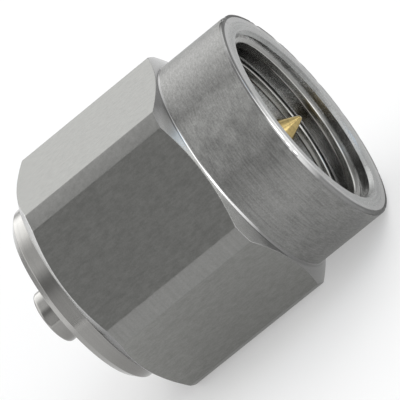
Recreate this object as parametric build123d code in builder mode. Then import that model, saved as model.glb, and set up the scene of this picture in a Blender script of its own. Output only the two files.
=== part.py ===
"""Coaxial adapter: a screw-on plug with a free-turning hexagonal coupling nut, and a small push-on
jack at the other end.

Millimetres. The axis of the adapter lies along X, with the plug's mouth towards +X. The origin is
on that axis at the plug's mating plane, where the outer contact and its insulator end. +Z is up,
and the nut lies on one of its flats. Places along the axis are X values, so those behind the
mating plane are negative. Half sections are drawn as (place along the axis, radius).
"""

import os
from math import radians, tan

from build123d import *

# Coupling nut, outside
nose_wall = 0.725  # from the thread's major diameter out to the round nose
nose_step = 0.1  # from the round nose out to the flats, which then lie 8.0 apart
corner_standout = 0.435  # of the turned corners, beyond the flats
nut_front = 2.48  # of the mouth's face, ahead of the mating plane
nose_length = 2.6
nose_root_radius = 0.1
nose_edge_break = 0.04
front_chamfer_angle = 27.0  # of both cones, from a plane square to the axis
rear_chamfer_angle = 33.0
rear_land = 0.41  # width of the flat ring that is the nut's rear face
collar_cover = 0.86  # length of the collar that the nut's rear hides

# Coupling nut, inside
thread_clearance = 0.175  # radial, from the neck out to the thread's major diameter, then 6.35
mouth_countersink = 0.09
relief_depth = 0.175
relief_length = 0.7
lip_lead = 0.1  # of the close bore, ahead of the plug body's flange

# Fits
running_clearance = 0.08  # radial, between what turns and what it turns on
seat_clearance = 0.005  # radial, between pieces that are pressed together
nut_float = 0.14  # travel of the nut along the axis, each way
stop_gap = 0.01  # left between the retaining ring and its groove at the end of that travel
shoulder_gap = 0.06  # left between the nut's shoulder and the collar there

# Plug body
barrel_bore_diameter = 4.1
barrel_wall = 0.245
barrel_length = 1.9
barrel_edge_break = 0.08
gasket_seat_step = 0.205  # from the barrel out to the seat
gasket_seat_length = 0.55
body_wall = 0.95
flange_length = 0.775
body_tail_length = 1.425
counterbore_step = 0.4
counterbore_depth = 1.05

# Retaining ring
ring_thickness = 0.45
ring_side_clearance = 0.025
ring_standout = 0.38
ring_depth = 0.28
ring_groove_clearance = 0.12  # radial, above the ring in the nut
body_groove_depth = 0.45
ring_split = 0.8

# Gasket
gasket_thickness = 0.5
gasket_inset = 0.05
gasket_round = 0.12

# Rear shell, with its collar and the small jack
collar_step = 0.31
collar_length = 1.52
collar_chamfer = 0.22
jack_diameter = 1.9
jack_length = 1.125
jack_edge_radius = 0.13
jack_bore_diameter = 1.6
spigot_wall = 0.85
spigot_end_gap = 0.05
spigot_lead = 0.1

# Centre contact and its two insulators
contact_diameter = 1.27
pin_diameter = 0.92
pin_length = 2.3
pin_cone_length = 0.9
pin_tip_radius = 0.06
pin_shoulder_recess = 0.05
contact_flange_step = 0.465
contact_flange_thickness = 0.35
jack_pin_diameter = 0.5
jack_pin_shank_diameter = 0.84  # in the rear insulator, which the free pin stands out of
jack_pin_recess = 0.15
jack_pin_chamfer = 0.08
jack_insulator_recess = 0.75
rear_head_length = 1.55

# Radii, from the axis outwards
pin_radius = pin_diameter / 2
contact_radius = contact_diameter / 2
contact_flange_radius = contact_radius + contact_flange_step
jack_pin_radius = jack_pin_diameter / 2
jack_pin_shank_radius = jack_pin_shank_diameter / 2
jack_radius = jack_diameter / 2
jack_bore_radius = jack_bore_diameter / 2
barrel_bore_radius = barrel_bore_diameter / 2
barrel_radius = barrel_bore_radius + barrel_wall
gasket_seat_radius = barrel_radius + gasket_seat_step
body_radius = barrel_bore_radius + body_wall
body_groove_radius = body_radius - body_groove_depth
counterbore_radius = barrel_bore_radius + counterbore_step
spigot_radius = counterbore_radius - seat_clearance
spigot_bore_radius = counterbore_radius - spigot_wall
collar_radius = body_radius + collar_step
ring_inner_radius = body_radius - ring_depth
ring_outer_radius = body_radius + ring_standout
nut_bore_radius = body_radius + running_clearance
nut_groove_radius = ring_outer_radius + ring_groove_clearance
nut_counterbore_radius = collar_radius + running_clearance
thread_radius = body_radius + thread_clearance
relief_radius = thread_radius + relief_depth
rear_face_radius = nut_counterbore_radius + rear_land
nose_radius = thread_radius + nose_wall
flat_radius = nose_radius + nose_step
corner_radius = flat_radius + corner_standout

# Places along the axis, from the mating plane backwards
gasket_seat_front = -barrel_length
flange_front = gasket_seat_front - gasket_seat_length
body_groove_front = flange_front - flange_length
body_groove_width = ring_thickness + 2 * (nut_float + stop_gap)
body_groove_rear = body_groove_front - body_groove_width
ring_middle = (body_groove_front + body_groove_rear) / 2
body_rear = body_groove_rear - body_tail_length
counterbore_floor = body_rear + counterbore_depth
contact_flange_front = counterbore_floor + contact_flange_thickness
collar_rear = body_rear - collar_length
jack_end = collar_rear - jack_length
jack_insulator_end = jack_end + jack_insulator_recess
jack_pin_end = jack_end + jack_pin_recess
head_rear = counterbore_floor - rear_head_length

# Places on the nut, with the nut midway in its travel
lip_front = flange_front + lip_lead
relief_front = lip_front + relief_length
nut_groove_half = ring_thickness / 2 + ring_side_clearance
nut_shoulder = body_rear + nut_float + shoulder_gap
nut_rear = nut_shoulder - collar_cover
nose_rear = nut_front - nose_length
front_cone_rise = tan(radians(front_chamfer_angle))
rear_cone_rise = tan(radians(rear_chamfer_angle))
front_corner = nose_rear - (corner_radius - nose_radius) * front_cone_rise
rear_corner = nut_rear + (corner_radius - rear_face_radius) * rear_cone_rise


def turned(points, mode=Mode.ADD, rounded=(), radius=0.0):
    """Turns a closed half section about the axis. The corners at the rounded points are filleted."""
    with BuildSketch(Plane.XZ) as section:
        with BuildLine():
            Polyline(*points, close=True)
        make_face()
        for point in rounded:
            fillet(section.vertices().sort_by_distance(point)[0], radius)
    revolve(section.sketch, axis=Axis.X, mode=mode)


def groove(front, rear, inner, outer):
    """Cuts a square ring out of the part, between two places and two radii."""
    turned([(front, inner), (front, outer), (rear, outer), (rear, inner)], Mode.SUBTRACT)


# Coupling nut: turned outside and inside first, then milled to its hexagon. Each cone meets the
# flats in six shallow curves, and the turned corners stay as narrow cylindrical strips.
with BuildPart() as coupling_nut:
    turned(
        [
            (nut_rear, nut_counterbore_radius),
            (nut_rear, rear_face_radius),
            (rear_corner, corner_radius),
            (front_corner, corner_radius),
            (nose_rear, nose_radius),
            (nut_front - nose_edge_break, nose_radius),
            (nut_front, nose_radius - nose_edge_break),
            (nut_front, thread_radius + mouth_countersink),
            (nut_front - mouth_countersink, thread_radius),
            (relief_front, thread_radius),
            (relief_front, relief_radius),
            (lip_front, relief_radius),
            (lip_front, nut_bore_radius),
            (nut_shoulder, nut_bore_radius),
            (nut_shoulder, nut_counterbore_radius),
        ],
        rounded=[(nose_rear, nose_radius)],
        radius=nose_root_radius,
    )
    groove(ring_middle + nut_groove_half, ring_middle - nut_groove_half, body_radius, nut_groove_radius)
    with BuildSketch(Plane.YZ.offset(nut_rear)):
        RegularPolygon(radius=flat_radius, side_count=6, major_radius=False)
    extrude(amount=nut_front - nut_rear, mode=Mode.INTERSECT)
coupling_nut.part.label = "coupling_nut"

# Plug body: the outer contact, the seat for the gasket, the neck that the nut turns on, and the
# groove that the retaining ring floats in.
with BuildPart() as plug_body:
    turned(
        [
            (0, barrel_bore_radius),
            (0, barrel_radius - barrel_edge_break),
            (-barrel_edge_break, barrel_radius),
            (gasket_seat_front, barrel_radius),
            (gasket_seat_front, gasket_seat_radius),
            (flange_front, gasket_seat_radius),
            (flange_front, body_radius),
            (body_rear, body_radius),
            (body_rear, counterbore_radius),
            (counterbore_floor, counterbore_radius),
            (counterbore_floor, barrel_bore_radius),
        ]
    )
    groove(body_groove_front, body_groove_rear, body_groove_radius, corner_radius)
plug_body.part.label = "plug_body"

# Retaining ring: a flat ring, split so that it can be sprung over the body. It reaches into the
# grooves of the body and of the nut, and holds the two together.
with BuildPart() as retaining_ring:
    turned(
        [
            (ring_middle + ring_thickness / 2, ring_inner_radius),
            (ring_middle + ring_thickness / 2, ring_outer_radius),
            (ring_middle - ring_thickness / 2, ring_outer_radius),
            (ring_middle - ring_thickness / 2, ring_inner_radius),
        ]
    )
    with BuildSketch(Plane.YZ.offset(ring_middle - ring_thickness / 2)):
        Rectangle(ring_split, ring_outer_radius, align=(Align.CENTER, Align.MIN))
    extrude(amount=ring_thickness, mode=Mode.SUBTRACT)
retaining_ring.part.label = "retaining_ring"

# Gasket: a soft ring in front of the flange, with its outer edges rounded.
with BuildPart() as gasket:
    gasket_front = flange_front + gasket_thickness
    gasket_outer_radius = body_radius - gasket_inset
    turned(
        [
            (flange_front, gasket_seat_radius + seat_clearance),
            (flange_front, gasket_outer_radius),
            (gasket_front, gasket_outer_radius),
            (gasket_front, gasket_seat_radius + seat_clearance),
        ],
        rounded=[(flange_front, gasket_outer_radius), (gasket_front, gasket_outer_radius)],
        radius=gasket_round,
    )
gasket.part.label = "gasket"

# Rear shell: a spigot pressed into the plug body, the collar behind the nut, and the small jack's
# outer contact, in one turned piece.
with BuildPart() as rear_shell:
    spigot_end = counterbore_floor - spigot_end_gap
    turned(
        [
            (spigot_end, spigot_bore_radius),
            (spigot_end, spigot_radius - spigot_lead),
            (spigot_end - spigot_lead, spigot_radius),
            (body_rear, spigot_radius),
            (body_rear, collar_radius),
            (collar_rear + collar_chamfer, collar_radius),
            (collar_rear, collar_radius - collar_chamfer),
            (collar_rear, jack_radius),
            (jack_end, jack_radius),
            (jack_end, jack_bore_radius),
            (head_rear, jack_bore_radius),
            (head_rear, spigot_bore_radius),
        ],
        rounded=[(jack_end, jack_radius)],
        radius=jack_edge_radius,
    )
rear_shell.part.label = "rear_shell"

# Front insulator: fills the plug's outer contact up to the mating plane.
with BuildPart() as front_insulator:
    turned(
        [
            (0, contact_radius + seat_clearance),
            (0, barrel_bore_radius - seat_clearance),
            (contact_flange_front, barrel_bore_radius - seat_clearance),
            (contact_flange_front, contact_radius + seat_clearance),
        ]
    )
front_insulator.part.label = "front_insulator"

# Rear insulator: a head in the spigot and a tail in the small jack, which leaves its mouth open.
with BuildPart() as rear_insulator:
    turned(
        [
            (counterbore_floor, jack_pin_shank_radius + seat_clearance),
            (counterbore_floor, spigot_bore_radius - seat_clearance),
            (head_rear, spigot_bore_radius - seat_clearance),
            (head_rear, jack_bore_radius - seat_clearance),
            (jack_insulator_end, jack_bore_radius - seat_clearance),
            (jack_insulator_end, jack_pin_shank_radius + seat_clearance),
        ]
    )
rear_insulator.part.label = "rear_insulator"

# Centre contact: the plug's pointed pin, a flange held between the two insulators, and the small
# jack's pin.
with BuildPart() as centre_contact:
    cone_base = pin_length - pin_cone_length
    turned(
        [
            (pin_length, 0),
            (pin_length, pin_tip_radius),
            (cone_base, pin_radius),
            (-pin_shoulder_recess, pin_radius),
            (-pin_shoulder_recess, contact_radius),
            (contact_flange_front, contact_radius),
            (contact_flange_front, contact_flange_radius),
            (counterbore_floor, contact_flange_radius),
            (counterbore_floor, jack_pin_shank_radius),
            (jack_insulator_end, jack_pin_shank_radius),
            (jack_insulator_end, jack_pin_radius),
            (jack_pin_end + jack_pin_chamfer, jack_pin_radius),
            (jack_pin_end, jack_pin_radius - jack_pin_chamfer),
            (jack_pin_end, 0),
        ],
        rounded=[(pin_length, pin_tip_radius)],
        radius=pin_tip_radius / 2,
    )
centre_contact.part.label = "centre_contact"

os.makedirs("parts", exist_ok=True)
pieces = (
    coupling_nut,
    plug_body,
    retaining_ring,
    gasket,
    rear_shell,
    front_insulator,
    rear_insulator,
    centre_contact,
)
for piece in pieces:
    export_step(piece.part, f"parts/{piece.part.label}.step")
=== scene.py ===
"""Coaxial adapter: the finished surfaces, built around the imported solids.

Metres, in the solids' own frame. The adapter's axis lies along X with the plug's mouth
towards +X, +Z is up, and the coupling nut lies on one of its flats. Outlines are drawn
as half sections, in (place along the axis, radius), and turned about the axis.
"""

import math
import random
from typing import NamedTuple

import bmesh
import bpy
import numpy as np
from bpy.props import (
    FloatProperty,
    FloatVectorProperty,
    IntProperty,
    PointerProperty,
)
from bpy.types import Operator, Panel, PropertyGroup
from mathutils import Matrix, Vector


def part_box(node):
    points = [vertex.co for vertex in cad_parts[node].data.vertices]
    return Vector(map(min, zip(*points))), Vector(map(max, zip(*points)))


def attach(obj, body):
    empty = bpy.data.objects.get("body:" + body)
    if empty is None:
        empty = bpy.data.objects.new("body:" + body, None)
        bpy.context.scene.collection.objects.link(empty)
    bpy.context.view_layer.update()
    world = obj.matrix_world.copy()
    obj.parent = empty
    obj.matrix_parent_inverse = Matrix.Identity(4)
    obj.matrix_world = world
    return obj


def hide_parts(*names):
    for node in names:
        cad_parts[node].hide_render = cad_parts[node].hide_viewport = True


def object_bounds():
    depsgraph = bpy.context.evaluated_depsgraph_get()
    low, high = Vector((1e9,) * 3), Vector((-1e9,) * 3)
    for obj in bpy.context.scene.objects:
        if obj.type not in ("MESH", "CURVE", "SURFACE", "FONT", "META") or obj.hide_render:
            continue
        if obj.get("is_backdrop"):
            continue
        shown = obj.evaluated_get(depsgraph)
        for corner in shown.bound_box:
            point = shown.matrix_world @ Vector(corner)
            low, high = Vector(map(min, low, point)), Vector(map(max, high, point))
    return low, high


bl_info = {
    "name": "Coaxial adapter",
    "version": (1, 0, 0),
    "blender": (4, 5, 0),
    "location": "3D View > Sidebar > Adapter",
    "description": "Builds a coaxial adapter's finished surfaces and a plain studio",
    "category": "Object",
}

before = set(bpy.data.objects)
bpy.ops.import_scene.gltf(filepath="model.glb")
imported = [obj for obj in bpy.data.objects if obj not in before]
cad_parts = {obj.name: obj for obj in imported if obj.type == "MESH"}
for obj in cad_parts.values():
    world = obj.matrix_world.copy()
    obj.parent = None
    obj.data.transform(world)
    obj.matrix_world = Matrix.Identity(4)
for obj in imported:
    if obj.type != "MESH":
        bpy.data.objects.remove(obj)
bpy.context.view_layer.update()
MM = 0.001
FULL_TURN = 2 * math.pi
SHARP = math.radians(40)  # from this angle on, an edge of the thread stays sharp
FLATS = 6
FINE = 0.012 * MM  # rounding of an edge that is only freed from burrs
FIT = 0.005 * MM  # between two pieces that are put together to stay


def number(name, description, value, **settings):
    return FloatProperty(
        name=name, description=description, default=value, **settings
    )


def length(name, description, millimetres):
    """A size that a user may change, given in millimetres and held in metres."""
    return number(name, description, millimetres * MM, unit="LENGTH", precision=5)


def slope(name, description, degrees):
    return number(name, description, math.radians(degrees), subtype="ANGLE")


def share(name, description, value, top=1.0):
    return number(name, description, value, min=0.0, max=top)


def rough(name, where, value):
    return share(name + " roughness", "Roughness of " + where, value)


def tint(name, where, colour):
    return FloatVectorProperty(
        name=name + " colour",
        description="Colour of " + where,
        default=colour,
        subtype="COLOR",
        size=3,
        min=0.0,
        max=1.0,
    )


class NutSizes(PropertyGroup):
    nose_radius: length("Nose radius", "Radius of the round nose", 3.9)
    flat_radius: length("Flat radius", "From the axis to a flat", 4.0)
    corner_radius: length("Corner radius", "Radius of the turned corners", 4.435)
    nose_length: length("Nose length", "From the mouth back to the front cone", 2.6)
    root_radius: length("Root radius", "Fillet where the nose meets the cone", 0.08)
    front_cone: slope("Front cone", "Of the front cone, from a plane face", 27.0)
    rear_cone: slope("Rear cone", "Of the rear cone, from a plane face", 33.0)
    rear_face_radius: length("Rear face radius", "Outer radius of the rear ring", 3.8)
    counterbore_radius: length("Counterbore radius", "Round the collar", 3.39)
    bore_radius: length("Bore radius", "Round the neck", 3.08)
    groove_radius: length("Groove radius", "Floor of the ring's groove", 3.5)
    groove_front: length("Groove front", "Front wall of that groove", -3.35)
    groove_rear: length("Groove rear", "Rear wall of that groove", -3.85)
    shoulder: length("Shoulder", "Floor of the counterbore", -5.2)
    lip_front: length("Lip front", "Front end of the close bore", -2.35)
    relief_front: length("Relief front", "Where the thread's run-out ends", -1.65)
    relief_radius: length("Relief radius", "Of the run-out behind the thread", 3.35)
    thread_radius: length("Thread radius", "Major radius of the thread", 3.175)
    countersink: length("Countersink", "Width of the mouth's countersink", 0.1)
    countersink_depth: length("Countersink depth", "Of the mouth's countersink", 0.13)
    edge_break: length("Edge break", "Rounding of the nose's rim", 0.08)
    # painted highlight: a band of bright steel on the mouth's face, lit on one side only
    sheen_band_width: length("Rubbed width", "Of the mouth's face and its rim", 0.3)
    rim_width: length("Rim width", "Of the rim, on the mouth's face", 0.13)
    rim_depth: length("Rim depth", "Of the rim, along the nose", 0.1)
    root_height: length("Root height", "Of the bright root, up the front cone", 0.065)
    edge_radius: length("Edge radius", "Rounding where the cones meet the flats", 0.022)
    rear_rounding: length("Rear rounding", "Of the nut's rear edge", 0.15)
    nick_depth: length("Nick depth", "Of the dents along the nut's edges", 0.02)


class ThreadSizes(PropertyGroup):
    pitch: length("Pitch", "From one turn to the next", 0.7056)
    depth: length("Depth", "From the major radius in to the crests", 0.205)
    root_width: length("Root width", "Of a turn, where it meets the bore", 0.49)
    crest_width: length("Crest width", "Of a turn, at its crest", 0.24)
    crest_rounding: length("Crest rounding", "Of the crest's two edges", 0.07)
    first_turn: length("First turn", "Place of the first turn's start", 2.375)
    last_turn: length("Last turn", "Place where the last turn runs out", -1.485)
    start_angle: slope("Start angle", "Of the first turn, from +Y towards +Z", 197.0)
    run_in: share("Run-in", "Part of a turn over which the ridge rises", 0.45)
    steps: IntProperty(name="Steps", description="In each turn", default=144, min=24)


class ShellSizes(PropertyGroup):
    collar_radius: length("Collar radius", "Radius of the bright collar", 3.31)
    collar_chamfer: length("Collar chamfer", "At the collar's rear edge", 0.22)
    collar_rear: length("Collar rear", "Rear face of the collar", -6.92)
    jack_radius: length("Jack radius", "Outer radius of the small jack", 0.95)
    jack_bore_radius: length("Jack bore radius", "Inner radius of the small jack", 0.8)
    jack_edge_radius: length("Jack edge radius", "Rounding of the jack's mouth", 0.13)
    head_rear: length("Head rear", "Rear end of the rear insulator's head", -5.9)
    spigot_radius: length("Spigot radius", "Of the part pressed into the body", 2.445)
    spigot_lead: length("Spigot lead", "Chamfer at the front of that part", 0.1)
    spigot_bore_radius: length("Spigot bore radius", "Inside that part", 1.6)
    neck_radius: length("Neck radius", "Of the body that the nut turns on", 3.0)
    groove_radius: length("Groove radius", "Floor of the neck's groove", 2.55)
    groove_front: length("Groove front", "Front wall of that groove", -3.225)
    groove_rear: length("Groove rear", "Rear wall of that groove", -3.975)
    seat_radius: length("Seat radius", "Of the body under the gasket", 2.5)
    seat_front: length("Seat front", "Front end of the gasket's seat", -1.9)
    web: length("Web", "Of the body, behind the front insulator", 0.35)
    barrel_radius: length("Barrel radius", "Outer radius of the plug's contact", 2.295)
    barrel_bore_radius: length("Barrel bore radius", "Inside that contact", 2.05)
    barrel_break: length("Barrel break", "Chamfer at that contact's front", 0.08)
    gasket_rounding: length("Gasket rounding", "Of the gasket's outer edges", 0.12)


class ContactSizes(PropertyGroup):
    pin_radius: length("Pin radius", "Radius of the plug's pin", 0.46)
    tip_radius: length("Tip radius", "Radius of the pin's blunt tip", 0.06)
    point_start: length("Point start", "Where the pin's point begins", 1.55)
    pin_root: length("Pin root", "Where the pin leaves its shank", -0.05)
    front_shank_radius: length("Front shank", "Inside the front insulator", 0.635)
    rear_shank_radius: length("Rear shank", "Inside the rear insulator", 0.42)
    jack_pin_radius: length("Jack pin radius", "Radius of the jack's pin", 0.25)
    jack_pin_chamfer: length("Jack pin chamfer", "At the end of that pin", 0.08)


class PieceLooks(PropertyGroup):
    milled_colour: tint("Milled", "the nut's flats", (0.262, 0.263, 0.252))
    milled_roughness: rough("Milled", "the nut's flats", 0.38)
    turned_colour: tint("Turned", "the nut's nose", (0.397, 0.397, 0.386))
    turned_roughness: rough("Turned", "the nut's nose", 0.42)
    corner_colour: tint("Corner", "the nut's corners", (0.25, 0.25, 0.242))
    corner_roughness: rough("Corner", "the nut's corners", 0.42)
    faced_colour: tint("Faced", "the mouth's face", (0.272, 0.276, 0.272))
    faced_roughness: rough("Faced", "the mouth's face", 0.28)
    # kept where the cones' and edges' highlight is painted; painted shade darkens the rest
    bright_colour: tint("Bright", "the nut's cones and edges", (0.86, 0.86, 0.85))
    bright_roughness: rough("Bright", "the nut's cones and edges", 0.16)
    # bright, so that the strong lathe rings in it paint reflection streaks inside the nut
    bore_colour: tint("Bore", "the inside of the nut", (0.72, 0.715, 0.69))
    bore_roughness: rough("Bore", "the inside of the nut", 0.22)
    crest_colour: tint("Crest", "the thread's crests", (0.52, 0.52, 0.5))
    crest_roughness: rough("Crest", "the thread", 0.22)
    # painted shade: the flanks between the turns keep this share of the crests' colour
    flank_shade_share: share("Flank share", "How much of that the flanks keep", 0.48)
    shell_colour: tint("Shell", "the collar and jack", (0.41, 0.405, 0.39))
    shell_roughness: rough("Shell", "the collar and jack", 0.16)
    gold_colour: tint("Gold", "the contact's plating", (0.39, 0.3, 0.13))
    gold_roughness: rough("Gold", "the contact's plating", 0.13)
    ring_colour: tint("Ring", "the retaining ring", (0.5, 0.36, 0.14))
    ring_roughness: rough("Ring", "the retaining ring", 0.3)
    insulator_colour: tint("Insulator", "the insulators", (0.8, 0.8, 0.78))
    insulator_roughness: rough("Insulator", "the insulators", 0.45)
    seal_colour: tint("Seal", "the gasket", (0.42, 0.05, 0.03))
    seal_roughness: rough("Seal", "the gasket", 0.55)


class StageLooks(PropertyGroup):
    floor_colour: tint("Floor", "the floor", (0.93, 0.93, 0.93))
    brightness: share("Brightness", "Of the whole studio", 1.0, 3.0)
    glow: share("Glow", "How far the floor is plain white, without shadow", 0.35)
    focal_length: number("Focal length", "Of the camera, in millimetres", 585.0)
    distance: length("Distance", "From the camera to the adapter", 202.05)
    lean: slope("Lean", "Of the adapter's axis towards the camera", 15.483)
    tilt: slope("Tilt", "Of the adapter's axis in the picture", 39.028)
    roll: slope("Roll", "Of the camera about that axis, up from the level", 22.2)
    target: length("Target", "Place on the axis that the camera looks at", -1.89)
    drop: length("Drop", "Of the camera's aim below the axis", 0.033)


# Outlines and meshes

WIDE_ROUNDING = 0.05 * MM  # above this, a corner takes the larger number of steps
WIDE_STEPS, FINE_STEPS = 8, 3
RUN_MARGIN = 0.015 * MM  # from a rounded corner to the first point of its run
LARGEST_MARGIN = 0.2  # share of the run


def rounded_section(corners, columns):
    """Points round a half section, one set for every column. Its corners are (place,
    radius, rounding, finish, run), where the run is the number of points on the
    straight stretch after the corner."""
    at = np.empty((len(corners), 2, columns))
    for i, corner in enumerate(corners):
        at[i, 0], at[i, 1] = corner[0], corner[1]
    back = np.roll(at, 1, axis=0) - at
    ahead = np.roll(at, -1, axis=0) - at
    back /= np.linalg.norm(back, axis=1, keepdims=True)
    ahead /= np.linalg.norm(ahead, axis=1, keepdims=True)
    half = np.arccos(np.clip((back * ahead).sum(1), -1, 1)) / 2
    rounding = np.array([corner[2] for corner in corners])[:, None]
    reach = (rounding / np.tan(half))[:, None, :]
    first, last = at + back * reach, at + ahead * reach
    points, finishes = [], []
    for i, (_, _, radius, finish, run) in enumerate(corners):
        steps = WIDE_STEPS if radius > WIDE_ROUNDING else FINE_STEPS if radius else 0
        for k in range(steps + 1):
            t = k / steps if steps else 0.0
            weights = (1 - t) ** 2, 2 * t * (1 - t), t**2
            bend = zip(weights, (first[i], at[i], last[i]))
            points.append(sum(weight * point for weight, point in bend))
            finishes.append(finish)
        if run:
            end = first[(i + 1) % len(corners)]
            span = np.linalg.norm(end - last[i], axis=0)
            edge = np.minimum(RUN_MARGIN / span, LARGEST_MARGIN)
            for t in np.linspace(0, 1, run):
                along = edge + (1 - 2 * edge) * t
                points.append(last[i] + (end - last[i]) * along)
                finishes.append(finish)
    return np.array(points), finishes


def turned_mesh(
    name, points, finishes, angles, looks, solid=False, column_finish=None
):
    """Turns an outline about the axis. A solid one starts and ends on the axis. The
    column finish may change a finish from one column to the next."""
    rings, columns = len(points), len(angles)
    places, radii = points[:, 0, :], points[:, 1, :]
    xyz = np.stack(
        np.broadcast_arrays(places, radii * np.cos(angles), radii * np.sin(angles)),
        axis=-1,
    ).reshape(-1, 3)
    faces, slots = [], []
    for ring in range(rings - 1 if solid else rings):
        here, ahead = ring * columns, (ring + 1) % rings * columns
        finish = finishes[ring]
        for c in range(columns):
            d = (c + 1) % columns
            faces.append((here + c, here + d, ahead + d, ahead + c))
            slots.append(column_finish(finish, c) if column_finish else finish)
    mesh = bpy.data.meshes.new(name)
    mesh.from_pydata(xyz.tolist(), [], faces)
    for look in looks:
        mesh.materials.append(look)
    mesh.polygons.foreach_set("material_index", slots)
    tidy_mesh(mesh)
    return mesh


def tidy_mesh(mesh):
    """Merges points that coincide, such as poles, and turns every face outwards."""
    made = bmesh.new()
    made.from_mesh(mesh)
    bmesh.ops.remove_doubles(made, verts=made.verts, dist=1e-8)
    if made.calc_volume(signed=True) < 0:
        bmesh.ops.reverse_faces(made, faces=made.faces)
    for face in made.faces:
        face.smooth = True
    made.to_mesh(mesh)
    made.free()


def place_piece(mesh, body, slot, *nodes):
    """Makes a piece of a mesh, which rides on a body and stands for the given nodes."""
    piece = bpy.data.objects.new(mesh.name, mesh)
    bpy.context.scene.collection.objects.link(piece)
    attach(piece, body)
    if nodes:
        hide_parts(*nodes)


def shell_piece(name, corners, looks, slot, node, columns=240, solid=False):
    """Turns a piece that stands for a node and doesn't turn with the nut. Its looks
    are the names of its finishes."""
    points, finishes = rounded_section(corners, 1)
    angles = np.linspace(0, FULL_TURN, columns, endpoint=False)
    mesh = turned_mesh(name, points, finishes, angles, materials(*looks), solid)
    place_piece(mesh, "shell", slot, node)


# Nodes

MIX_FACTOR, MIX_DARK, MIX_LIGHT = 0, 6, 7  # inputs of a Mix node that mixes colours
MIX_COLOUR = 2  # its output


class Nodes:
    """Adds the nodes of one tree and links them."""

    def __init__(self, tree):
        self.tree = tree
        tree.nodes.clear()

    def feed(self, node, inputs):
        """Links a node's inputs to sockets, or sets them to values."""
        for key, value in inputs.items():
            if isinstance(value, bpy.types.NodeSocket):
                self.tree.links.new(value, node.inputs[key])
            elif value is not None:
                node.inputs[key].default_value = value

    def add(self, kind, *values, inputs=None, **settings):
        """A node with its first inputs fed in order, and others by name or number."""
        node = self.tree.nodes.new(kind)
        for key, value in settings.items():
            setattr(node, key, value)
        self.feed(node, dict(enumerate(values)) | (inputs or {}))
        return node

    def maths(self, operation, *values):
        return self.add("ShaderNodeMath", *values, operation=operation).outputs[0]

    def vector(self, operation, *values):
        node = self.add("ShaderNodeVectorMath", *values, operation=operation)
        single = operation in ("LENGTH", "DOT_PRODUCT")
        return node.outputs["Value" if single else "Vector"]

    def spread(self, value, low, high, start=0.3, end=0.7, smooth=False):
        """Maps a value between two others."""
        node = self.add("ShaderNodeMapRange", value, start, end, low, high)
        node.interpolation_type = "SMOOTHSTEP" if smooth else "LINEAR"
        return node.outputs["Result"]

    def near(self, where, direction, full, faded, level=1.0, smooth=False):
        """A level near a direction, which fades to nought between two half angles."""
        limits = [math.cos(math.radians(half)) for half in (faded, full)]
        dot = self.vector("DOT_PRODUCT", where, direction)
        return self.spread(dot, 0.0, level, *limits, smooth)


# Finishes

LINE_NOISE = (3.0, 0.6)  # detail and roughness of the noise in a metal's lines
SPECKS = 22000.0  # frequency of the specks in a metal, per metre
GRAIN = (0.45, 0.3, 0.25)  # shares of lines, specks and clouds in a metal's tone
GRAIN_RANGE = (0.38, 0.62)  # of that noise, from the darkest tone to the lightest
RELIEF = (1.0, 0.4)  # heights of the lines and of the specks, times the lines' depth


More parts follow.
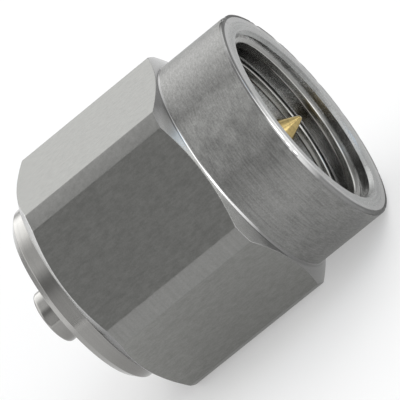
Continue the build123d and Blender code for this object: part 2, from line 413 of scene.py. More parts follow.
class Shading(Nodes):
    """The nodes of one material."""

    def __init__(self, name):
        self.material = bpy.data.materials.get(name) or bpy.data.materials.new(name)
        self.material.use_nodes = True
        super().__init__(self.material.node_tree)
        self.shader = self.add("ShaderNodeBsdfPrincipled")
        self.out = self.add("ShaderNodeOutputMaterial", self.shader.outputs["BSDF"])
        self.place = self.add("ShaderNodeTexCoord").outputs["Object"]

    def add_white(self, glow):
        """Mixes plain white into what the camera, reflections and clear things see."""
        path = self.add("ShaderNodeLightPath").outputs
        seen = self.maths("MAXIMUM", path["Is Camera Ray"], path["Is Glossy Ray"])
        seen = self.maths("MAXIMUM", seen, path["Is Transmission Ray"])
        part = self.maths("MULTIPLY", seen, glow)
        white = self.add("ShaderNodeEmission").outputs["Emission"]
        mix = self.add("ShaderNodeMixShader", part, self.shader.outputs["BSDF"], white)
        self.feed(self.out, {"Surface": mix.outputs["Shader"]})

    def noise(self, where, detail, roughness):
        node = self.add("ShaderNodeTexNoise", where, None, 1.0, detail, roughness)
        return node.outputs["Fac"]

    def stretched_noise(self, stretch, detail, roughness=0.5):
        """Noise over a piece's own coordinates, with a frequency for each axis."""
        mapping = self.add("ShaderNodeMapping", self.place, inputs={"Scale": stretch})
        return self.noise(mapping.outputs["Vector"], detail, roughness)

    def from_axis(self):
        """The parts of a point's place, and its way straight out from the axis."""
        parts = self.add("ShaderNodeSeparateXYZ", self.place).outputs
        outward = self.add("ShaderNodeCombineXYZ", 0.0, parts["Y"], parts["Z"])
        return parts, outward.outputs["Vector"]

    def lathe_noise(self, across, around):
        """Noise in fine circles about the adapter's axis, as a lathe leaves them on any
        face. The frequencies are those across the circles and, roughly, round them."""
        parts, outward = self.from_axis()
        radius = self.vector("LENGTH", outward)
        section = self.add("ShaderNodeCombineXYZ", parts["X"], radius, parts["Y"])
        scale = (across, across, around)
        scaled = self.vector("MULTIPLY", section.outputs["Vector"], scale)
        return self.noise(scaled, *LINE_NOISE)

    def sum_of(self, sockets, shares):
        """Adds sockets, each times its share."""
        total = 0.0
        for socket, weight in zip(sockets, shares):
            total = self.maths("MULTIPLY_ADD", socket, weight, total)
        return total

    def painted_light_side(self, middle, full, faded):
        """One on the side of the piece at an angle about the axis, nought elsewhere: the
        mask of a painted highlight, outside which shade is painted.
        """
        turn = math.radians(middle)
        outward = self.vector("NORMALIZE", self.from_axis()[1])
        side = (0, -math.cos(turn), math.sin(turn))
        return self.near(outward, side, full, faded)

    def painted_light_crest(self, full, faded):
        """One up to a radius about the axis, and nought from another outwards: the mask of
        the crests' painted highlight.
        """
        radius = self.vector("LENGTH", self.from_axis()[1])
        return self.spread(radius, 1.0, 0.0, full, faded)

    def paint_shade_elsewhere(self, rubbed, painted_shade_share):
        """Paints shade: darkens the base colour to a share of itself outside a mask of
        painted light.
        """
        bright = self.shader.inputs["Base Color"].links[0].from_socket
        amount = self.spread(rubbed, painted_shade_share, 1.0, 0.0, 1.0)
        duller = self.vector("SCALE", bright, None, None, amount)
        self.feed(self.shader, {"Base Color": duller})

    def bump(self, height, distance):
        inputs = {"Strength": 1.0, "Distance": distance, "Height": height}
        node = self.add("ShaderNodeBump", inputs=inputs)
        self.feed(self.shader, {"Normal": node.outputs["Normal"]})

    def vary_colour(self, factor, colour, shade):
        """Lets the base colour wander between a darker and a lighter tone."""
        inputs = {MIX_FACTOR: factor}
        for index, scale in ((MIX_DARK, 1 - shade), (MIX_LIGHT, 1 + shade)):
            inputs[index] = [min(1.0, part * scale) for part in colour] + [1.0]
        node = self.add("ShaderNodeMix", inputs=inputs, data_type="RGBA")
        self.feed(self.shader, {"Base Color": node.outputs[MIX_COLOUR]})


class Cut(NamedTuple):
    """How a metal was cut. Frequencies are per metre. A side with painted light keeps the
    full colour as a painted highlight, and painted shade darkens the other sides: it is
    given by the share that the other sides keep, by its middle, and by the half angles of
    its full and of its faded brightness, in degrees about the axis, from the level towards
    the camera up over the top."""

    base: str  # names the colour and roughness in PieceLooks
    lines: tuple  # for each axis, or those across and round a lathe's circles
    depth: float  # of the lines, in millimetres
    mottle: float  # frequency of the clouds
    shade: float  # how much the tone wanders
    wander: float = 0.05  # how much the roughness wanders
    tone: float = 1.0  # share of the base colour
    edge_tint: float = 1.0  # of the reflections at a glancing angle
    # sides with a painted highlight; painted shade darkens the rest of the piece
    rubbed: tuple = ()


# bright steel of the nut's cones and edges; each piece below paints its highlight
BRIGHT_EDGE_STEEL = Cut("bright", (15000, 500), 0.001, 1800, 0.06)
POLISHED = Cut("shell", (14000, 400), 0.0006, 1500, 0.05, 0.03)
METALS = {
    "milled_steel": Cut("milled", (3600, 11500, 11500), 0.003, 3600, 0.12, 0.025),
    # painted sheen: a narrow lighter band along one side of the nose, painted shade
    # elsewhere
    "turned_steel": Cut(
        "turned", (19000, 5200), 0.006, 2200, 0.24, rubbed=((0.62, 40, 3, 19),)
    ),
    "corner_steel": Cut("corner", (7000, 7000), 0.002, 3200, 0.11),
    "faced_steel": Cut("faced", (16000, 700), 0.002, 1900, 0.24),
    # painted highlights on one side of the cone, root, rim, face and rear edge, with
    # painted shade elsewhere; the rim's second side paints shade on its far side
    "cone_steel": BRIGHT_EDGE_STEEL._replace(rubbed=((0.36, 27, 21, 42),)),
    "root_steel": BRIGHT_EDGE_STEEL._replace(rubbed=((0.29, 24, 13, 32),)),
    "rim_steel": BRIGHT_EDGE_STEEL._replace(
        edge_tint=0.45, rubbed=((0.29, 20, 3, 26), (0.48, 20, 85, 115))
    ),
    "rubbed_face": BRIGHT_EDGE_STEEL._replace(rubbed=((0.32, 20, 3, 25),)),
    "tail_steel": BRIGHT_EDGE_STEEL._replace(edge_tint=0.65, rubbed=((0.29, 46, 18, 42),)),
    # painted shade darkens the lower inside; its strong rings are part grain, part painted
    # reflection streaks
    "bore_steel": Cut(
        "bore", (4300, 260), 0.004, 1300, 0.8, rubbed=((0.56, 85, 100, 130),)
    ),
    "thread_steel": Cut("crest", (16000, 900), 0.0015, 1800, 0.12),
    # painted highlight on one side of the collar about the axis, painted shade on the rest
    "polished_steel": POLISHED._replace(rubbed=((0.68, 60, 45, 53),)),
    # a darker copy of the polished steel: painted shade on the collar's end faces and the
    # body
    "polished_end": POLISHED._replace(tone=0.72),
    # painted highlight along the pin's side towards the camera, painted shade on the rest
    "gold_plate": Cut(
        "gold", (11000, 500), 0.0012, 2000, 0.24, rubbed=((0.5, -10, 50, 62),)
    ),
    "ring_metal": Cut("ring", (9000, 900), 0.0008, 900, 0.08),
}
PLAIN = {
    # what names the look; frequency of the clouds, per metre; their depth, millimetres
    "white_insulator": ("insulator", 4000, 0.001),
    "seal_rubber": ("seal", 3000, 0.002),
}


def look_of(base):
    """The colour and roughness whose names start with a word, as the user set them."""
    looks = bpy.context.scene.adapter_looks
    return getattr(looks, base + "_colour"), getattr(looks, base + "_roughness")


def metal(name):
    """Shades a metal with its lines, specks, and a tone and gloss that wander."""
    cut = METALS[name]
    colour, middle = look_of(cut.base)
    s = Shading(name)
    if len(cut.lines) == 2:
        fine = s.lathe_noise(*cut.lines)
    else:
        fine = s.stretched_noise(cut.lines, *LINE_NOISE)
    specks = s.stretched_noise((SPECKS,) * 3, 1.0)
    cloud = s.stretched_noise((cut.mottle,) * 3, 3.0)
    gloss = s.spread(cloud, middle - cut.wander, middle + cut.wander)
    edges = (*(cut.edge_tint,) * 3, 1.0)
    s.feed(s.shader, {"Metallic": 1.0, "Specular Tint": edges, "Roughness": gloss})
    grain = s.sum_of((fine, specks, cloud), GRAIN)
    tone = [cut.tone * part for part in colour]
    s.vary_colour(s.spread(grain, 0.0, 1.0, *GRAIN_RANGE), tone, cut.shade)
    # painted light: full colour on each given side as a highlight, painted shade on the
    # rest
    for painted_shade_share, *side in cut.rubbed:
        s.paint_shade_elsewhere(s.painted_light_side(*side), painted_shade_share)
    s.bump(s.sum_of((fine, specks), RELIEF), cut.depth * MM)
    return s


def thread_steel(crest_radius, flank_shade_share):
    """The thread's steel, with a painted highlight on its crests and painted shade on its
    flanks.
    """
    s = metal("thread_steel")
    full, faded = (crest_radius + height * MM for height in (0.002, 0.014))
    s.paint_shade_elsewhere(s.painted_light_crest(full, faded), flank_shade_share)
    return s.material


def plain_finish(name):
    """Shades a plastic or a rubber with a faint skin."""
    base, clouds, depth = PLAIN[name]
    colour, roughness = look_of(base)
    s = Shading(name)
    s.feed(s.shader, {"Roughness": roughness})
    skin = s.stretched_noise((clouds,) * 3, 4.0)
    s.vary_colour(s.spread(skin, 0.0, 1.0), colour, shade=0.05)
    s.bump(skin, depth * MM)
    return s


def materials(*names):
    return [(plain_finish if n in PLAIN else metal)(n).material for n in names]


# Coupling nut

NUT_FINISHES = (
    "milled_steel", "turned_steel", "cone_steel", "bore_steel", "faced_steel",
    "root_steel", "rim_steel", "tail_steel", "rubbed_face", "corner_steel",
)
MILLED, TURNED, CONE, BORE, FACED, ROOT, RIM, TAIL, FACE_SHEEN, CORNER = range(
    len(NUT_FINISHES)
)
SECTOR = 360 / FLATS
# Columns of the nut's mesh, in degrees from the edge between a flat and a corner
EDGE_COLUMNS = (-0.45, -0.3, -0.2, -0.1, 0, 0.1, 0.2, 0.3, 0.45)
LAST_ON_FLAT, FIRST_ON_CORNER = -0.8, 1.0
ON_FLAT, ON_CORNER = 20, 5  # numbers of the other columns
CREASE = 0.012 * MM  # width of the rounding between a flat and a corner
DENT_SEED = 11
DENT_WIDTHS = (0.012, 0.035)  # radians about the axis
DENT_DEPTHS = (0.15, 0.9)  # shares of the nick depth
RIM_REACH = (0.12 * MM, 0.1 * MM)  # of the dents from the rim, along and in
TAIL_REACH = 0.16 * MM  # of those from the rear edge, along and in


def flat_edge(sizes):
    """From the middle of a flat to its edge, in degrees about the axis."""
    return math.degrees(math.acos(sizes.flat_radius / sizes.corner_radius))


def nut_angles(sizes):
    """Angles of the nut's columns, in radians, and each one's place on its sector, in
    degrees from the middle of the flat."""
    edge = flat_edge(sizes)
    half = (
        list(np.linspace(0, edge + LAST_ON_FLAT, ON_FLAT))
        + [edge + d for d in EDGE_COLUMNS]
        + list(np.linspace(edge + FIRST_ON_CORNER, SECTOR / 2, ON_CORNER))
    )
    sector = [-a for a in reversed(half[1:])] + half[:-1]
    degrees = [SECTOR / 2 + SECTOR * k + a for k in range(FLATS) for a in sector]
    return np.radians(degrees), np.array(sector * FLATS)


def soft_least(first, second, width):
    """The smaller of two radii, with the crease between them rounded."""
    overlap = np.maximum(width - np.abs(first - second), 0) / width
    return np.minimum(first, second) - overlap**2 * width / 4


def nut_corners(sizes, outer):
    """Corners of the nut's half section. The outer radius differs with the column."""
    low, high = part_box("coupling_nut")
    front, rear = high.x, low.x
    nose = sizes.nose_radius
    nose_rear = front - sizes.nose_length
    front_slope = math.tan(sizes.front_cone)
    front_edge = nose_rear - (outer - nose) * front_slope
    rear_edge = rear + (outer - sizes.rear_face_radius) * math.tan(sizes.rear_cone)
    root_rear = nose_rear - sizes.root_height * front_slope
    counterbore, bore = sizes.counterbore_radius, sizes.bore_radius
    groove, relief = sizes.groove_radius, sizes.relief_radius
    thread = sizes.thread_radius
    return [
        (front, thread + sizes.countersink, FINE, FACED, 6),
        # from here to the rim, bright steel with a painted highlight on one side
        (front, nose - sizes.sheen_band_width, 0, FACE_SHEEN, 1),
        (front, nose - sizes.rim_width, 0, RIM, 0),
        (front, nose, sizes.edge_break, RIM, 1),
        (front - sizes.rim_depth, nose, 0, TURNED, 30),
        (nose_rear, nose, sizes.root_radius, ROOT, 0),
        (root_rear, nose + sizes.root_height, 0, CONE, 2),
        (front_edge, outer, sizes.edge_radius, MILLED, 62),
        (rear_edge, outer, sizes.edge_radius, TAIL, 3),
        (rear, sizes.rear_face_radius, sizes.rear_rounding, TAIL, 4),
        (rear, counterbore, FINE, TURNED, 5),
        (sizes.shoulder, counterbore, FINE, BORE, 3),
        (sizes.shoulder, bore, FINE, BORE, 4),
        (sizes.groove_rear, bore, FINE, BORE, 3),
        (sizes.groove_rear, groove, FINE, BORE, 3),
        (sizes.groove_front, groove, FINE, BORE, 3),
        (sizes.groove_front, bore, FINE, BORE, 4),
        (sizes.lip_front, bore, FINE, BORE, 3),
        (sizes.lip_front, relief, FINE, BORE, 3),
        (sizes.relief_front, relief, FINE, BORE, 3),
        (sizes.relief_front, thread, FINE, BORE, 16),
        (front - sizes.countersink_depth, thread, FINE, FACED, 0),
    ]


class ADAPTER_OT_coupling_nut(Operator):
    """Builds the hexagonal coupling nut, with its turned corners and cones"""

    bl_idname = "adapter.coupling_nut"
    bl_label = "Coupling nut"

    def execute(self, context):
        sizes = context.scene.adapter_nut
        angles, from_middle = nut_angles(sizes)
        flat = sizes.flat_radius / np.cos(np.radians(from_middle))
        outer = soft_least(flat, np.full_like(flat, sizes.corner_radius), CREASE)
        points, finishes = rounded_section(nut_corners(sizes, outer), len(angles))
        dent_edges(points, angles, sizes)
        on_corner = np.abs(from_middle) > flat_edge(sizes)
        strip = on_corner & np.roll(on_corner, -1)
        mesh = turned_mesh(
            "hex_nut",
            points,
            finishes,
            angles,
            materials(*NUT_FINISHES),
            column_finish=lambda finish, column: (
                CORNER if finish == MILLED and strip[column] else finish
            ),
        )
        place_piece(mesh, "nut", "nut_steel", "coupling_nut")
        return {"FINISHED"}


def dent_edges(points, angles, sizes):
    """Presses small dents into the rim of the mouth and into the nut's rear edge."""
    draw = random.Random(DENT_SEED)
    low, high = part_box("coupling_nut")
    places, radii = points[:, 0, :], points[:, 1, :]
    turn = np.broadcast_to(angles, places.shape)
    along, inward = RIM_REACH
    rim = (places > high.x - along) & (radii > sizes.nose_radius - inward)
    tail = (places < low.x + TAIL_REACH) & (
        radii > sizes.rear_face_radius - TAIL_REACH
    )
    # the part of a dent that goes along the axis, the number of dents, their depth
    for edge, forward, count, depth in ((rim, -0.6, 46, 1.0), (tail, 0.2, 44, 0.3)):
        for _ in range(count):
            where = draw.uniform(0, FULL_TURN)
            wide = draw.uniform(*DENT_WIDTHS)
            deep = depth * sizes.nick_depth * draw.uniform(*DENT_DEPTHS)
            away = np.angle(np.exp(1j * (turn - where)))
            dent = np.exp(-((away / wide) ** 2)) * deep
            radii -= np.where(edge, dent, 0)
            places += np.where(edge, dent * forward, 0)


class ADAPTER_OT_coupling_thread(Operator):
    """Winds the thread's ridge along the inside of the nut"""

    bl_idname = "adapter.coupling_thread"
    bl_label = "Coupling thread"

    def execute(self, context):
        sizes = context.scene.adapter_thread
        bore = context.scene.adapter_nut.thread_radius
        flanks = context.scene.adapter_looks.flank_shade_share
        sunk = 0.03 * MM  # so that the ridge grows out of the bore's wall
        tree = thread_tree()
        blank = bpy.data.meshes.new("thread_carrier")
        carrier = bpy.data.objects.new("thread_carrier", blank)
        context.scene.collection.objects.link(carrier)
        modifier = carrier.modifiers.new("Thread", "NODES")
        modifier.node_group = tree
        turns = (sizes.first_turn - sizes.last_turn) / sizes.pitch
        given = {
            "Pitch": sizes.pitch,
            "Turns": turns,
            "Steps": sizes.steps,
            "Radius": bore + sunk,
            "Depth": sizes.depth + sunk,
            "Root Width": sizes.root_width,
            "Crest Width": sizes.crest_width,
            "Crest Rounding": sizes.crest_rounding,
            "Run-in": sizes.run_in,
            "Steel": thread_steel(bore - sizes.depth, flanks),
        }
        for socket in tree.interface.items_tree:
            if socket.name in given:
                modifier[socket.identifier] = given[socket.name]
        context.view_layer.update()
        wound = carrier.evaluated_get(context.evaluated_depsgraph_get())
        mesh = bpy.data.meshes.new_from_object(wound)
        mesh.name = "nut_thread"
        bpy.data.objects.remove(carrier)
        bpy.data.meshes.remove(blank)
        along_x = Matrix(((0, 0, 1, 0), (1, 0, 0, 0), (0, 1, 0, 0), (0, 0, 0, 1)))
        mesh.transform(
            Matrix.Translation((sizes.last_turn, 0, 0))
            @ Matrix.Rotation(sizes.start_angle, 4, "X")
            @ along_x
            @ Matrix.Rotation(-turns * FULL_TURN, 4, "Z")
        )
        tidy_mesh(mesh)
        mesh.set_sharp_from_angle(angle=SHARP)
        place_piece(mesh, "nut", "nut_steel")
        return {"FINISHED"}


def thread_tree():
    """Geometry nodes that sweep a trapezoid along a helix, and let it rise and end."""
    tree = bpy.data.node_groups.new("thread_ridge", "GeometryNodeTree")
    sizes = ("Pitch", "Turns", "Radius", "Depth", "Root Width", "Crest Width")
    sizes += ("Crest Rounding", "Run-in")
    for name, in_out, kind in (
        ("Geometry", "INPUT", "Geometry"),
        *((size, "INPUT", "Float") for size in sizes),
        ("Steps", "INPUT", "Int"),
        ("Steel", "INPUT", "Material"),
        ("Geometry", "OUTPUT", "Geometry"),
    ):
        tree.interface.new_socket(name, in_out=in_out, socket_type="NodeSocket" + kind)

    ridge = Nodes(tree)
    given = ridge.add("NodeGroupInput").outputs
    helix = ridge.add(
        "GeometryNodeCurveSpiral",
        inputs={
            "Resolution": given["Steps"],
            "Rotations": given["Turns"],
            "Start Radius": given["Radius"],
            "End Radius": given["Radius"],
            "Height": ridge.maths("MULTIPLY", given["Pitch"], given["Turns"]),
            "Reverse": True,
        },
    )
    upright = ridge.add(
        "GeometryNodeSetCurveNormal", helix.outputs["Curve"], mode="Z_UP"
    )

    outline = ridge.add(
        "GeometryNodeCurvePrimitiveQuadrilateral",
        inputs={
            "Height": given["Depth"],
            "Bottom Width": given["Root Width"],
            "Top Width": given["Crest Width"],
            "Offset": 0.0,
        },
        mode="TRAPEZOID",
    )
    middle = ridge.maths("MULTIPLY", given["Depth"], 0.5)
    lift = ridge.add("ShaderNodeCombineXYZ", 0.0, middle).outputs["Vector"]
    raised = ridge.add(
        "GeometryNodeTransform", outline.outputs["Curve"], inputs={"Translation": lift}
    )
    softened = ridge.add(
        "GeometryNodeFilletCurve",
        raised.outputs["Geometry"],
        inputs={"Radius": given["Crest Rounding"], "Count": 3},
        mode="POLY",
    )
    turned = ridge.add(
        "GeometryNodeTransform",
        softened.outputs["Curve"],
        inputs={"Rotation": (0, 0, math.pi / 2)},
    )

    along = ridge.add("GeometryNodeSplineParameter").outputs["Factor"]
    turn_now = ridge.maths("MULTIPLY", along, given["Turns"])
    turns_left = ridge.maths("SUBTRACT", given["Turns"], turn_now)
    nearest = ridge.maths("MINIMUM", turn_now, turns_left)
    rising = ridge.maths("DIVIDE", nearest, given["Run-in"])
    least = 0.02  # share of its size that the ridge keeps at its very ends
    ease = ridge.spread(rising, least, 1.0, 0.0, 1.0, smooth=True)

    sweep = ridge.add(
        "GeometryNodeCurveToMesh",
        inputs={
            "Curve": upright.outputs["Curve"],
            "Profile Curve": turned.outputs["Geometry"],
            "Scale": ease,
            "Fill Caps": True,
        },
    )
    real = ridge.add("GeometryNodeRealizeInstances", sweep.outputs["Mesh"])
    steel = ridge.add(
        "GeometryNodeSetMaterial",
        real.outputs["Geometry"],
        inputs={"Material": given["Steel"]},
    )
    ridge.add("NodeGroupOutput", steel.outputs["Geometry"])
    return tree


# Shell and contacts


class ADAPTER_OT_rear_shell(Operator):
    """Turns the bright collar and the small jack behind it"""

    bl_idname = "adapter.rear_shell"
    bl_label = "Rear shell"

    def execute(self, context):
        sizes = context.scene.adapter_shell
        low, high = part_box("rear_shell")
        body_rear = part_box("plug_body")[0].x
        outer, spigot = sizes.collar_radius, sizes.spigot_radius
        rear, chamfer = sizes.collar_rear, sizes.collar_chamfer
        side, end = range(2)
        corners = [
            (high.x, sizes.spigot_bore_radius, FINE, side, 2),
            (high.x, spigot - sizes.spigot_lead, FINE, side, 0),
            (high.x - sizes.spigot_lead, spigot, FINE, side, 4),
            (body_rear, spigot, FINE, side, 4),
            (body_rear, outer, 0.02 * MM, side, 14),
            (rear + chamfer, outer, 0.03 * MM, side, 3),
            (rear, outer - chamfer, 0.02 * MM, end, 10),
            (rear, sizes.jack_radius, 0.04 * MM, side, 8),
            (low.x, sizes.jack_radius, sizes.jack_edge_radius, side, 0),
            (low.x, sizes.jack_bore_radius, 0.008 * MM, end, 8),
            (sizes.head_rear, sizes.jack_bore_radius, FINE, end, 4),
            (sizes.head_rear, sizes.spigot_bore_radius, FINE, end, 6),
        ]
        steels = ("polished_steel", "polished_end")
        shell_piece(
            "collar_and_jack", corners, steels, "shell_steel", "rear_shell", 300
        )
        return {"FINISHED"}


class ADAPTER_OT_plug_body(Operator):
    """Turns the plug's outer contact and the neck that the nut turns on"""

    bl_idname = "adapter.plug_body"
    bl_label = "Plug body"

    def execute(self, context):
        sizes = context.scene.adapter_shell
        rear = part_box("plug_body")[0].x
        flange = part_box("gasket")[0].x
        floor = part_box("front_insulator")[0].x - sizes.web
        socket = sizes.spigot_radius + FIT
        barrel, bore = sizes.barrel_radius, sizes.barrel_bore_radius
        neck, groove, seat = sizes.neck_radius, sizes.groove_radius, sizes.seat_radius
        corners = [
            (0, bore, FINE, 0, 2),
            (0, barrel - sizes.barrel_break, FINE, 0, 0),
            (-sizes.barrel_break, barrel, FINE, 0, 8),
            (sizes.seat_front, barrel, FINE, 0, 2),
            (sizes.seat_front, seat, FINE, 0, 3),
            (flange, seat, FINE, 0, 3),
            (flange, neck, FINE, 0, 4),
            (sizes.groove_front, neck, FINE, 0, 3),
            (sizes.groove_front, groove, FINE, 0, 3),
            (sizes.groove_rear, groove, FINE, 0, 3),
            (sizes.groove_rear, neck, FINE, 0, 6),
            (rear, neck, FINE, 0, 3),
            (rear, socket, FINE, 0, 5),
            (floor, socket, FINE, 0, 3),
            (floor, bore, FINE, 0, 12),
        ]
        steels = ("polished_end",)
        shell_piece("plug_shell", corners, steels, "shell_steel", "plug_body")
        return {"FINISHED"}


class ADAPTER_OT_centre_contact(Operator):
    """Turns the gold plated centre contact, with its pointed pin"""

    bl_idname = "adapter.centre_contact"
    bl_label = "Centre contact"

    def execute(self, context):
        sizes = context.scene.adapter_contact
        low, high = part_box("centre_contact")
        insulator_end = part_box("rear_insulator")[0].x
        flange_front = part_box("front_insulator")[0].x
        flange_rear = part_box("rear_insulator")[1].x
        jack_pin, chamfer = sizes.jack_pin_radius, sizes.jack_pin_chamfer
        fine = 0.01 * MM
        corners = [
            (high.x, 0, 0, 0, 0),
            (high.x, sizes.tip_radius, 0.04 * MM, 0, 0),
            (sizes.point_start, sizes.pin_radius, 0.03 * MM, 0, 6),
            (sizes.pin_root, sizes.pin_radius, fine, 0, 0),
            (sizes.pin_root, sizes.front_shank_radius, fine, 0, 6),
            (flange_front, sizes.front_shank_radius, fine, 0, 2),
            (flange_front, high.z, fine, 0, 2),
            (flange_rear, high.z, fine, 0, 2),
            (flange_rear, sizes.rear_shank_radius, fine, 0, 6),
            (insulator_end, sizes.rear_shank_radius, fine, 0, 0),
            (insulator_end, jack_pin, fine, 0, 4),
            (low.x + chamfer, jack_pin, 0.03 * MM, 0, 0),
            (low.x, jack_pin - chamfer, 0.03 * MM, 0, 0),
            (low.x, 0, 0, 0, 0),
        ]
        plating = ("gold_plate",)
        shell_piece(
            "pin_contact", corners, plating, "gold", "centre_contact", 144, solid=True
        )
        return {"FINISHED"}


class ADAPTER_OT_insulators(Operator):
    """Turns the two white insulators"""

    bl_idname = "adapter.insulators"
    bl_label = "Insulators"

    def execute(self, context):
        shell = context.scene.adapter_shell
        contact = context.scene.adapter_contact
        white = ("white_insulator",)
        low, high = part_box("front_insulator")
        bore = contact.front_shank_radius + FIT
        outer = shell.barrel_bore_radius - FIT
        corners = [
            (high.x, bore, FINE, 0, 4),
            (high.x, outer, FINE, 0, 6),
            (low.x, outer, FINE, 0, 4),
            (low.x, bore, FINE, 0, 6),
        ]
        shell_piece("front_dielectric", corners, white, "insulator", "front_insulator")
        low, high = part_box("rear_insulator")
        bore = contact.rear_shank_radius + FIT
        outer = shell.spigot_bore_radius - FIT
        tail = shell.jack_bore_radius - FIT
        corners = [
            (high.x, bore, FINE, 0, 4),
            (high.x, outer, FINE, 0, 4),
            (shell.head_rear, outer, FINE, 0, 3),
            (shell.head_rear, tail, FINE, 0, 4),
            (low.x, tail, FINE, 0, 3),
            (low.x, bore, FINE, 0, 6),
        ]
        shell_piece(
            "rear_dielectric", corners, white, "insulator", "rear_insulator", 160
        )
        return {"FINISHED"}


class ADAPTER_OT_gasket(Operator):
    """Turns the soft gasket in front of the flange"""

    bl_idname = "adapter.gasket"
    bl_label = "Gasket"

    def execute(self, context):
        sizes = context.scene.adapter_shell
        low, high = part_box("gasket")
        bore, rounding = sizes.seat_radius + FIT, sizes.gasket_rounding
        corners = [
            (low.x, bore, 0.02 * MM, 0, 2),
            (low.x, high.y, rounding, 0, 2),
            (high.x, high.y, rounding, 0, 3),
            (high.x, bore, 0.02 * MM, 0, 3),
        ]
        shell_piece("seal_ring", corners, ("seal_rubber",), "seal", "gasket")
        return {"FINISHED"}


class ADAPTER_OT_retaining_ring(Operator):
    """Gives the split retaining ring its finish"""

    bl_idname = "adapter.retaining_ring"
    bl_label = "Retaining ring"

    def execute(self, context):
        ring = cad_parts["retaining_ring"]
        ring.data.materials.clear()
        ring.data.materials.append(metal("ring_metal").material)
        return {"FINISHED"}


# Stage


def camera_axes(stage):
    """The camera's right, up and backward directions, and the way down the picture
    when the adapter's axis is level in it."""
    beside = Vector((0, -math.cos(stage.roll), math.sin(stage.roll)))
    below = Vector((0, -math.sin(stage.roll), -math.cos(stage.roll)))
    axis = Vector((1, 0, 0))
    along = math.cos(stage.lean) * axis - math.sin(stage.lean) * beside
    back = math.sin(stage.lean) * axis + math.cos(stage.lean) * beside
    right = math.cos(stage.tilt) * along + math.sin(stage.tilt) * below
    up = math.sin(stage.tilt) * along - math.cos(stage.tilt) * below
    return right, up, back, below


STUDIO = (
    # angle about the axis, from the level towards the camera up over the top; tone
    (-180, 0.7), (-90, 0.5), (-6, 0.5), (2, 0.52), (18, 0.54), (34, 0.5), (42, 0.4),
    (50, 0.25), (58, 0.25), (66, 0.46), (76, 0.74), (90, 0.64), (102, 0.6),
    (112, 0.95), (124, 1.6), (140, 1.95), (154, 2.25), (162, 1.8), (169, 0.7),
    (180, 0.55),
)
END_TONE = 0.5  # of the studio beyond both ends of the adapter
END_FADE = (0.45, 0.75)  # where it takes over, as the part of a direction along X
WHITE = (1.0, 1.0, 1.0)
LAMPS = (
    # direction; half angles of the full and of the faded light; strength; colour
    ((0.7, -0.1, 0.7), 18, 34, 1.2, WHITE),
    ((-0.75, 0.1, 0.65), 18, 34, 0.7, WHITE),
    ((0.52, -0.79, 0.32), 10, 22, 2.0, WHITE),
    ((0.97, -0.2, 0.1), 6, 14, 2.5, WHITE),
    ((0.85, 0.16, 0.51), 5, 7.5, 1.4, (0.06, 0.5, 1.0)),
)


def build_world(stage):
    """A studio that is bright behind the adapter, and dim towards the camera."""
    world = bpy.data.worlds.new("studio")
    world.use_nodes = True
    sky = Nodes(world.node_tree)

    def light(level, colour):
        return sky.add("ShaderNodeBackground", (*colour, 1.0), level).outputs[0]

    place = sky.add("ShaderNodeTexCoord").outputs["Generated"]
    parts = sky.add("ShaderNodeSeparateXYZ", place).outputs
    toward = sky.maths("MULTIPLY", parts["Y"], -1.0)
    angle = sky.maths("ARCTAN2", parts["Z"], toward)
    turn = sky.spread(angle, 0.0, 1.0, -math.pi, math.pi)
    ramp = sky.add("ShaderNodeValToRGB", turn)
    marks = ramp.color_ramp.elements
    brightest = max(tone for _, tone in STUDIO)
    for index, (degrees, tone) in enumerate(STUDIO):
        where = (degrees + 180) / 360
        mark = marks[index] if index < len(marks) else marks.new(where)
        mark.position = where
        mark.color = (*(tone / brightest,) * 3, 1.0)
    peak = brightest * stage.brightness
    across = sky.maths("MULTIPLY", ramp.outputs["Color"], peak)
    side = sky.maths("ABSOLUTE", parts["X"])
    middle = sky.spread(side, 1.0, 0.0, *END_FADE, smooth=True)
    ends = sky.spread(side, 0.0, END_TONE * stage.brightness, *END_FADE, smooth=True)
    level = sky.maths("ADD", sky.maths("MULTIPLY", across, middle), ends)
    total = light(level, WHITE)
    for direction, full, faded, strength, colour in LAMPS:
        aim = Vector(direction).normalized()
        strength *= stage.brightness
        level = sky.near(place, aim, full, faded, strength, smooth=True)
        total = sky.add("ShaderNodeAddShader", total, light(level, colour)).outputs[0]
    camera_ray = sky.add("ShaderNodeLightPath").outputs["Is Camera Ray"]
    seen = sky.add("ShaderNodeMixShader", camera_ray, total, light(1.0, WHITE))
    sky.add("ShaderNodeOutputWorld", seen.outputs[0])
    bpy.context.scene.world = world


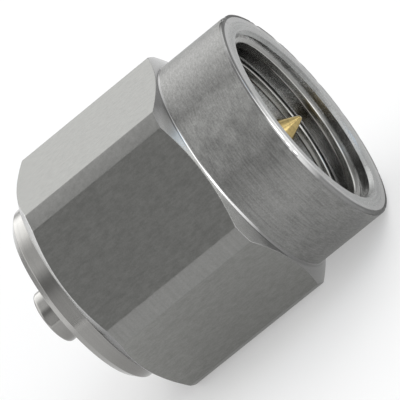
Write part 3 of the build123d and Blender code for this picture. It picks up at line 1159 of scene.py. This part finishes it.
class ADAPTER_OT_stage(Operator):
    """Lays a pale floor, lights it softly and sets up the camera"""

    bl_idname = "adapter.stage"
    bl_label = "Stage"

    def execute(self, context):
        stage = context.scene.adapter_stage
        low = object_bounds()[0].z
        reach = 0.6
        mesh = bpy.data.meshes.new("floor")
        corners = ((-1, -1), (1, -1), (1, 1), (-1, 1))
        mesh.from_pydata(
            [(reach * x, reach * y, low) for x, y in corners], [], [(0, 1, 2, 3)]
        )
        s = Shading("pale_floor")
        colour = (*stage.floor_colour, 1.0)
        plain = {"Base Color": colour, "Roughness": 1.0, "Specular IOR Level": 0.0}
        s.feed(s.shader, plain)
        s.add_white(stage.glow)
        mesh.materials.append(s.material)
        floor = bpy.data.objects.new("floor", mesh)
        context.scene.collection.objects.link(floor)
        floor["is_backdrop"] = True
        build_world(stage)

        right, up, back, below = camera_axes(stage)
        aim = Vector((stage.target, 0, 0)) + below * stage.drop
        camera = bpy.data.objects.new("camera", bpy.data.cameras.new("camera"))
        context.scene.collection.objects.link(camera)
        camera.data.lens = stage.focal_length
        camera.data.sensor_width = 36.0
        camera.data.clip_start = 0.01
        camera.data.clip_end = 10.0
        turn = Matrix((right, up, back)).transposed()
        camera.matrix_world = Matrix.Translation(
            aim + back * stage.distance
        ) @ turn.to_4x4()
        context.scene.camera = camera
        context.scene.view_settings.view_transform = "Standard"
        return {"FINISHED"}


class ADAPTER_PT_pieces(Panel):
    """Lists the adapter's pieces and their sizes"""

    bl_idname = "ADAPTER_PT_pieces"
    bl_label = "Coaxial adapter"
    bl_space_type = "VIEW_3D"
    bl_region_type = "UI"
    bl_category = "Adapter"

    def draw(self, context):
        for operator in OPERATORS:
            self.layout.operator(operator.bl_idname)
        for name, group in GROUPS:
            box = self.layout.box()
            for key in group.__annotations__:
                box.prop(getattr(context.scene, name), key)


OPERATORS = (
    ADAPTER_OT_coupling_nut,
    ADAPTER_OT_coupling_thread,
    ADAPTER_OT_rear_shell,
    ADAPTER_OT_plug_body,
    ADAPTER_OT_centre_contact,
    ADAPTER_OT_insulators,
    ADAPTER_OT_gasket,
    ADAPTER_OT_retaining_ring,
    ADAPTER_OT_stage,
)
GROUPS = (
    ("adapter_nut", NutSizes),
    ("adapter_thread", ThreadSizes),
    ("adapter_shell", ShellSizes),
    ("adapter_contact", ContactSizes),
    ("adapter_looks", PieceLooks),
    ("adapter_stage", StageLooks),
)


def register():
    for name, group in GROUPS:
        bpy.utils.register_class(group)
        setattr(bpy.types.Scene, name, PointerProperty(type=group))
    for operator in OPERATORS:
        bpy.utils.register_class(operator)
    bpy.utils.register_class(ADAPTER_PT_pieces)


def unregister():
    bpy.utils.unregister_class(ADAPTER_PT_pieces)
    for operator in reversed(OPERATORS):
        bpy.utils.unregister_class(operator)
    for name, group in reversed(GROUPS):
        delattr(bpy.types.Scene, name)
        bpy.utils.unregister_class(group)


def main():
    register()
    bpy.ops.adapter.coupling_nut()
    bpy.ops.adapter.coupling_thread()
    bpy.ops.adapter.rear_shell()
    bpy.ops.adapter.plug_body()
    bpy.ops.adapter.centre_contact()
    bpy.ops.adapter.insulators()
    bpy.ops.adapter.gasket()
    bpy.ops.adapter.retaining_ring()
    bpy.ops.adapter.stage()


if __name__ == "__main__":
    main()
